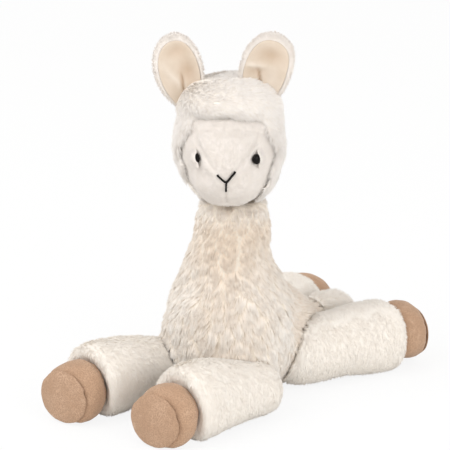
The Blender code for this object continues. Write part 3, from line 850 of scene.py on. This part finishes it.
def make_nose():
    """A Y of thick twisted thread: two arms and a stem, whose ends dive into the cloth."""
    tree = solid_tree("face")
    all_points, all_triangles = [], []
    for end, size in NOSE_STITCHES:
        path = []
        for step in range(STITCH_STEPS):
            share = step / (STITCH_STEPS - 1)
            dive = STITCH_DIVE * ((2 * abs(share - 0.5)) ** 8)
            side, rise = (a + (b - a) * share for a, b in zip(NOSE_FORK, end))
            path.append(face_spot(tree, side, rise, THREAD_LIFT - dive))
        points, triangles = thread_mesh(np.array(path), size)
        all_triangles += (np.array(triangles) + len(all_points)).tolist()
        all_points += points
    nose = triangle_object("nose_thread", all_points, all_triangles)
    finished(nose, THREAD, ["nose_stitch"])


# Legs, hooves and tail

# How far the legs are drawn in for the pile, and how each flares at its cuff
LEG_INSET = 0.0022
CUFF_FLARE = 0.0034
CUFF_LENGTH = 0.060
# Hoof walls: puckers round the sole, and how far the wall is drawn in, also at cuff and sole
PUCKERS = 26
WALL_INSET = 0.0004
WALL_CUFF_INSET = 0.0016
WALL_SOLE_INSET = 0.0003
# Soles: how much wider they look than their solids, how proud they are, and their clearance
SOLE_WIDER = {"front": 0.10, "hind": 0.03}
SOLE_PROUD = 0.0003
SOLE_LIFT = 0.0010


def make_leg(leg, seed):
    bone = coordinates(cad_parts[f"leg_{leg}"].data)
    hoof = coordinates(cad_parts[f"hoof_{leg}"].data).mean(axis=0)
    along = unit((hoof - bone.mean(axis=0)) * np.array((1.0, 1.0, 0.0)))

    def comb_leg(points, normals):
        swirl = swirled(points, normals, along, 0.022, seed)
        return 0.1 * along - UP + 0.55 * np.cross(UP, along) + 0.1 * swirl

    others = solid_tree("body", "tail", f"hoof_{leg}")
    skin, points, gap = stuffed_skin(f"leg_{leg}", 0.0054, 1, others, 0.014, 0.003)
    lumps = 0.0008 * waves(points, 0.040, seed + 1) + 0.0002 * waves(points, 0.012, seed + 2)
    reach = points @ along
    cuff = ramp(reach, reach.max() - CUFF_LENGTH, reach.max() - 0.004)
    pushed(skin, (CUFF_FLARE * cuff - LEG_INSET) * ramp(gap, 0.0, 0.006) + lumps)
    finished(skin, SOFT_BACKING, [f"leg_{leg}"])
    points = coordinates(skin.data)
    weights = clear_of(points, 0.0016, 0.0040, f"hoof_{leg}")
    weights *= clear_of(points, 0.0002, 0.0016, "body", "tail")
    weights *= 0.25 + 0.75 * ramp(points[:, 2], 0.001, 0.004)
    grow(f"leg_{leg}_pile", skin, SOFT_PILE, weights, comb_leg, count=12000, length=0.0046,
         width=0.0011, lift=0.26, clump=0.0035, pull=0.18, seed=seed)


def make_tail():
    others = solid_tree("body")
    skin, points, gap = stuffed_skin("tail", 0.004, 2, others, 0.012, 0.002)
    pushed(skin, -0.0028 * ramp(gap, 0.0, 0.008) + 0.0006 * waves(points, 0.02, 5))
    finished(skin, SOFT_BACKING, ["tail"])
    weights = ramp(distances(coordinates(skin.data), others), 0.0015, 0.004)

    def comb_tail(points, normals):
        return np.array((0.2, 1.0, -0.25)) + 0.4 * waves(points, 0.02, 6)[:, None] * UP

    grow("tail_pile", skin, SOFT_PILE, weights, comb_tail, count=4000, length=0.0062,
         width=0.0011, lift=0.36, clump=0.0050, pull=0.4, jitter=0.12, round_normals=2.5,
         seed=41)


def make_hoof(leg, seed):
    """Suede wall with soft creases, puckered where the sole is sewn in, and the sole."""
    wall = remeshed(f"hoof_{leg}_suede", f"hoof_{leg}", 0.0031, 1)
    subdivided(wall)
    points = coordinates(wall.data)
    centre = points.mean(axis=0)
    sole = coordinates(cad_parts[f"sole_{leg}"].data)
    axis = unit((sole.mean(axis=0) - centre) * np.array((1.0, 1.0, 0.0)))
    side = np.cross(axis, UP)
    turn = np.arctan2((points - centre) @ UP, (points - centre) @ side)
    near = 1 - clear_of(points, 0.001, 0.007, f"sole_{leg}")
    cuff = 1 - clear_of(points, 0.0012, 0.0050, f"leg_{leg}")
    pucker = np.sin(PUCKERS * turn + 1.5 * waves(points, 0.02, seed)) * near
    heights = 0.0005 * waves(points, 0.022, seed + 1) + 0.0002 * waves(points, 0.008, seed + 2)
    heights += 0.00015 * pucker - WALL_INSET - WALL_CUFF_INSET * cuff - WALL_SOLE_INSET * near
    pushed(wall, heights)
    finished(wall, SUEDE_WALL, [f"hoof_{leg}"])

    pad = merged_copy(f"sole_{leg}_suede", f"sole_{leg}")
    subdivided(pad, times=2)
    points = coordinates(pad.data)
    middle = points.mean(axis=0)
    facing = unit(np.linalg.svd(points - middle, full_matrices=False)[2][2])
    facing *= math.copysign(1.0, facing @ axis)
    wider = SOLE_WIDER[leg.split("_")[0]]
    proud = SOLE_PROUD - wider * ((points - middle) @ facing)
    points = middle + (1 + wider) * (points - middle) + proud[:, None] * facing
    points[:, 2] += max(0.0, SOLE_LIFT - points[:, 2].min())
    set_coordinates(pad.data, points)
    pushed(pad, 0.0002 * waves(points, 0.014, seed + 3))
    finished(pad, SUEDE_SOLE, [f"sole_{leg}"])


# Ears: in each ear's own frame, +Z is up the ear and its open side looks along -Y

EAR_LENGTH = 0.064
EAR_HALF_WIDTH = 0.0232
EAR_THICKNESS = 0.0062
EAR_CUP = 0.0100
EAR_SIDES = {"left": 0.0245, "right": 0.0350}
EAR_BASE = Vector((0.0, 0.0040, 0.0860))
EAR_LEAN = math.radians(15)
EAR_PITCH = math.radians(6)
# Where an ear is widest along its length, its root's share of that width, and how far its tip
# leans back, as a share of its length
EAR_WIDEST = 0.56
EAR_ROOT_WIDTH = 0.52
EAR_CURL = 0.10
# The lining's shares of the leaf's width and length
LINING_WIDTH = 0.84
LINING_TOP = 0.925
# Each leaf's share of the full width, its shift outwards, and its share of the full length
EAR_FIT = {"left": (0.95, -0.0018, 0.995), "right": (0.90, 0.0014, 0.975)}
# How square the outer corner of each tip is
ROUND_CORNER = 2.2
EAR_CORNER = {"left": 3.6, "right": 2.3}
# Folds of each open side: place across and along, half sizes, lean, depth, and how much painted
# shade is laid there, or painted highlight where that is below 0
EAR_FOLDS_AND_PAINTED_SHADE = {
    "left": (
        (-0.0005, 0.71, 0.0120, 0.11, 0.0, 0.0026, 0.55),
        (-0.0120, 0.55, 0.0080, 0.035, 0.0, -0.0026, -0.70),
        (-0.0100, 0.45, 0.0070, 0.05, 0.0, 0.0018, 0.30),
        (-0.0040, 0.34, 0.0012, 0.15, -0.027, 0.0030, 1.40),
        (0.0064, 0.41, 0.0080, 0.16, 0.0, 0.0026, -0.35),
    ),
    "right": (
        (0.0000, 0.76, 0.0110, 0.10, 0.0, 0.0020, 0.45),
        (-0.0072, 0.41, 0.0034, 0.20, -0.033, -0.0026, -0.60),
        (-0.0022, 0.29, 0.0012, 0.12, 0.006, 0.0034, 1.30),
        (0.0050, 0.45, 0.0075, 0.18, 0.0, 0.0030, 0.60),
    ),
}


def leaf_half(along, corner):
    """Half width of an ear at a share of its length, for one side of its middle line."""
    tip = np.clip((along - EAR_WIDEST) / (1 - EAR_WIDEST), 0.0, 1.0)
    root = np.sin(0.5 * math.pi * np.clip(along / EAR_WIDEST, 0.0, 1.0))
    return EAR_HALF_WIDTH * np.where(along > EAR_WIDEST,
                                     (1 - tip ** corner) ** (1 / ROUND_CORNER),
                                     EAR_ROOT_WIDTH + (1 - EAR_ROOT_WIDTH) * root)


def leaf_middle(x, along):
    """The cupped sheet in the middle of the leaf."""
    deeper_at_root = 1.0 + 1.2 * (1 - along) ** 2
    return (-EAR_CUP * deeper_at_root * (x / EAR_HALF_WIDTH) ** 2
            + EAR_CURL * EAR_LENGTH * along ** 2)


def leaf_folds_and_painted_shade(x, along, name):
    """Depth of the folds, and the painted shade in them, painted highlight where below 0."""
    depth = np.zeros_like(x)
    shade = np.zeros_like(x)
    for across, place, half_x, half_along, lean, deep, dark in EAR_FOLDS_AND_PAINTED_SHADE[name]:
        off = (x - across - lean * (along - place)) / half_x
        near = np.exp(-off ** 2 - ((along - place) / half_along) ** 2)
        depth += deep * near
        shade += dark * near
    return depth, shade


def ear_matrix(name):
    side = 1 if name == "left" else -1
    return (
        Matrix.Translation((0.0, 0.0, NECK_SEAM_HEIGHT)) @ Matrix.Rotation(HEAD_TURN, 4, "Z")
        @ Matrix.Translation(EAR_BASE + Vector((side * EAR_SIDES[name], 0.0, 0.0)))
        @ Matrix.Rotation(side * EAR_LEAN, 4, "Y") @ Matrix.Rotation(EAR_PITCH, 4, "X")
    )


def leaf_mesh(name, title, rows, facets, scale, shift, top, front, back):
    """A closed leaf: scale and shift place it across, top ends it, and front and back are the
    offsets of its two sides from the middle sheet."""
    side = 1 if name == "left" else -1
    share = np.linspace(0.0, 1.0, rows)[:, None]
    along = np.sin(0.5 * math.pi * share) ** 1.15 * 0.998
    angle = np.linspace(0, 2 * math.pi, facets, endpoint=False)[None, :]
    outer = leaf_half(along, EAR_CORNER[name])
    inner = leaf_half(along, ROUND_CORNER)
    half = np.where(np.cos(angle) * side > 0, outer, inner) * scale
    x = shift * side + half * np.cos(angle)
    along = np.broadcast_to(along * top, x.shape)
    bulge = np.sin(angle) * np.ones_like(x)
    y = leaf_middle(x, along)
    y += np.where(bulge < 0, -front(x, along, -bulge), back(x, along, bulge))
    points = np.stack((x, y, along * EAR_LENGTH), axis=2).reshape(-1, 3)
    points = np.vstack((points, points[:facets].mean(axis=0), points[-facets:].mean(axis=0)))
    matrix = np.array(ear_matrix(name))
    world = points @ matrix[:3, :3].T + matrix[:3, 3]
    leaf = triangle_object(title, world, capped_triangles(rows, facets))
    # The fold attribute carries painted shade in the folds and painted highlight on the ridges
    shade = np.append(leaf_folds_and_painted_shade(x, along, name)[1].ravel(), (0.0, 0.0))
    leaf.data.attributes.new("fold", "FLOAT", "POINT").data.foreach_set(
        "value", np.clip(0.5 + 0.5 * shade, 0.0, 1.0).astype(np.float32))
    return leaf


def make_ear(name, seed):
    def thick(x, along, share):
        """Half the leaf's thickness, and a share of the folds' depth."""
        return 0.5 * EAR_THICKNESS + share * leaf_folds_and_painted_shade(x, along, name)[0]

    def sheet(x, along):
        """Where the leaf's open side is, in front of its middle."""
        edge = np.sqrt(np.clip(1 - (x / (1.02 * EAR_HALF_WIDTH)) ** 2, 0.0, 1.0))
        return edge * thick(x, along, -1.0)

    wide, shift, tall = EAR_FIT[name]
    leaf = leaf_mesh(name, f"ear_{name}_leaf", 46, 56, wide, shift, tall,
                     lambda x, along, bulge: bulge * thick(x, along, -1.0),
                     lambda x, along, bulge: bulge * thick(x, along, 0.5))
    finished(leaf, FACE_BACKING, [f"ear_{name}"])
    lining = leaf_mesh(
        name, f"ear_{name}_lining", 60, 72, LINING_WIDTH * wide, shift, LINING_TOP * tall,
        lambda x, along, bulge: sheet(x, along) + 0.0004 + 0.0012 * bulge,
        lambda x, along, bulge: -sheet(x, along) - 0.0003)
    finished(lining, LINING_VELOUR, [f"ear_lining_{name}"])

    tree = BVHTree.FromPolygons([v.co for v in lining.data.vertices],
                                [list(p.vertices) for p in lining.data.polygons])
    points = coordinates(leaf.data)
    weights = ramp(distances(points, tree), 0.0008, 0.0018)
    weights *= clear_of(points, 0.0002, 0.0012, "head")
    middle = coordinates(lining.data).mean(axis=0)

    def comb_ear(points, normals):
        return unit(points - middle) + 0.3 * waves(points, 0.015, seed)[:, None] * HEAD_SIDE

    grow(f"ear_{name}_pile", leaf, FACE_PILE, weights, comb_ear, count=8000, length=0.0030,
         width=0.0009, lift=0.36, clump=0.0035, pull=0.2, seed=seed)


# Studio

LENS = 177.8
CAMERA_AZIMUTH = math.radians(36)
CAMERA_ELEVATION = math.radians(17.5)
CAMERA_DISTANCE = 2.0
CAMERA_TARGET = Vector((-0.0050, -0.0010, 0.1566))
# Name, place, size and power of each lamp, and the point that they all shine on
LAMPS = (("key", (-0.9, -1.9, 2.1), 2.2, 33.5), ("fill", (1.9, -0.6, 0.9), 1.8, 16.0))
LAMP_TARGET = Vector((0.0, 0.0, 0.12))
WORLD_STRENGTH = 0.87
FLOOR_SPAN = 12.0
FLOOR_COLOUR = (0.88, 0.88, 0.87)
FLOOR_WHITENESS = 0.87
WHITE = (1.0, 1.0, 1.0)


def make_camera():
    data = bpy.data.cameras.new("camera")
    camera = link("camera", data)
    data.lens = LENS
    data.sensor_width = 36.0
    level = math.cos(CAMERA_ELEVATION)
    back = Vector((math.sin(CAMERA_AZIMUTH) * level, -math.cos(CAMERA_AZIMUTH) * level,
                   math.sin(CAMERA_ELEVATION)))
    camera.location = CAMERA_TARGET + CAMERA_DISTANCE * back
    camera.rotation_euler = back.to_track_quat("Z", "Y").to_euler()
    data.clip_start, data.clip_end = 0.05, 60.0
    bpy.context.scene.camera = camera


def make_lamp(name, location, size, power):
    data = bpy.data.lights.new(name, "AREA")
    data.shape = "DISK"
    data.size = size
    data.energy = power
    lamp = link(name, data)
    lamp.location = location
    away = Vector(location) - LAMP_TARGET
    lamp.rotation_euler = away.to_track_quat("Z", "Y").to_euler()


def blended_shader(tree, share, first, second, output):
    """Sends two shaders to an output, blended by a socket's value."""
    mix = tree.nodes.new("ShaderNodeMixShader")
    tree.links.new(share, mix.inputs["Fac"])
    tree.links.new(first, mix.inputs[1])
    tree.links.new(second, mix.inputs[2])
    tree.links.new(mix.outputs["Shader"], tree.nodes[output].inputs["Surface"])


def make_world():
    """Even light from all round, which the camera sees as plain white."""
    world = bpy.data.worlds.new("studio")
    bpy.context.scene.world = world
    world.use_nodes = True
    tree = world.node_tree
    path = tree.nodes.new("ShaderNodeLightPath")
    light = tree.nodes["Background"]
    plain = tree.nodes.new("ShaderNodeBackground")
    feed(tree, light, Color=WHITE, Strength=WORLD_STRENGTH)
    feed(tree, plain, Color=WHITE, Strength=1.0)
    blended_shader(tree, path.outputs["Is Camera Ray"], light.outputs["Background"],
                   plain.outputs["Background"], "World Output")


def make_floor():
    """A pale floor that the camera sees as nearly white, but for its shadows."""
    mesh = bpy.data.meshes.new("floor")
    corners = [(-1, -1), (1, -1), (1, 1), (-1, 1)]
    mesh.from_pydata([(FLOOR_SPAN * x, FLOOR_SPAN * y, 0) for x, y in corners], [],
                     [(0, 1, 2, 3)])
    floor = link("floor", mesh)
    material, tree, shader = node_material("floor")
    feed(tree, shader, Roughness=0.9, Base_Color=FLOOR_COLOUR)
    path = tree.nodes.new("ShaderNodeLightPath")
    glow = tree.nodes.new("ShaderNodeEmission")
    feed(tree, glow, Color=WHITE, Strength=1.0)
    share = tree.nodes.new("ShaderNodeMath")
    share.operation = "MULTIPLY"
    share.inputs[1].default_value = FLOOR_WHITENESS
    tree.links.new(path.outputs["Is Camera Ray"], share.inputs[0])
    blended_shader(tree, share.outputs["Value"], shader.outputs["BSDF"],
                   glow.outputs["Emission"], "Material Output")
    mesh.materials.append(material)


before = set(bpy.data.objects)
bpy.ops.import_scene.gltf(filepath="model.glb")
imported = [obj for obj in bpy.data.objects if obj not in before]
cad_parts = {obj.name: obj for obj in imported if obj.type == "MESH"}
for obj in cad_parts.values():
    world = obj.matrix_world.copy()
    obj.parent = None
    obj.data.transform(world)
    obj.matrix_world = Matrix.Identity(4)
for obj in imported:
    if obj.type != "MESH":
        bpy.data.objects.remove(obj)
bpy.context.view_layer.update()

# Colours of pile are given at its root, middle and tip, then as the tint of its dim tones
# Roots darker than tips are painted shade deep in the pile
CREAM_PILE = pile_material("cream_pile", (0.87, 0.79, 0.69), (0.915, 0.855, 0.785),
                           (0.93, 0.895, 0.845), (0.84, 0.755, 0.67))
# The cream backing is darker than the pile: painted shade for the grooves between its tufts
CREAM_BACKING_PAINTED_SHADE = backing_material("cream_backing_painted_shade", (0.72, 0.63, 0.53), (0.78, 0.70, 0.60))
SOFT_PILE = pile_material("soft_pile", (0.87, 0.80, 0.72), (0.90, 0.85, 0.79),
                          (0.92, 0.88, 0.83), (0.96, 0.94, 0.91))
HEAD_PILE = pile_material("head_pile", (0.86, 0.80, 0.73), (0.90, 0.855, 0.81),
                          (0.92, 0.885, 0.85), (0.97, 0.96, 0.95))
SOFT_BACKING = backing_material("soft_backing", (0.86, 0.80, 0.73), (0.90, 0.85, 0.78))
FACE_PILE = pile_material("face_pile", (0.78, 0.72, 0.65), (0.81, 0.76, 0.71),
                          (0.84, 0.79, 0.76), (0.96, 0.95, 0.93))
FACE_BACKING = backing_material("face_backing", (0.79, 0.73, 0.67), (0.83, 0.77, 0.72))
SUEDE_WALL = suede_material("suede_wall", (0.47, 0.295, 0.19), (0.55, 0.36, 0.24),
                            (0.60, 0.42, 0.30))
SUEDE_SOLE = suede_material("suede_sole", (0.45, 0.285, 0.185), (0.55, 0.365, 0.25),
                            (0.60, 0.43, 0.31))
# Lining colours: painted highlight on ridges, the velour's own colour, painted shade in folds
LINING_VELOUR = velour_material("lining_velour", (0.78, 0.70, 0.615), (0.66, 0.56, 0.46),
                                (0.50, 0.36, 0.25))
EYE_PLASTIC = plastic_material("eye_plastic", (0.004, 0.003, 0.002), (0.007, 0.005, 0.004),
                               0.12, 0.05, 0.09)
WASHER_PLASTIC = plastic_material("washer_plastic", (0.80, 0.80, 0.78), (0.86, 0.86, 0.84),
                                  0.4, 0.0)
THREAD = thread_material("black_thread", (0.006, 0.005, 0.005), (0.020, 0.017, 0.015))

make_camera()
make_body()
make_head()
make_face()
make_eye("left")
make_eye("right")
make_lid("left", 35)
make_lid("right", 36)
make_nose()
make_tail()
for index, leg_name in enumerate(LEGS):
    make_leg(leg_name, 60 + 10 * index)
    make_hoof(leg_name, 160 + 10 * index)
make_ear("left", 260)
make_ear("right", 270)
for side_name in ("left", "right"):
    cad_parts[f"eye_washer_{side_name}"].data.materials[0] = WASHER_PLASTIC
bpy.context.scene.view_settings.view_transform = "Standard"
make_world()
for lamp in LAMPS:
    make_lamp(*lamp)
make_floor()
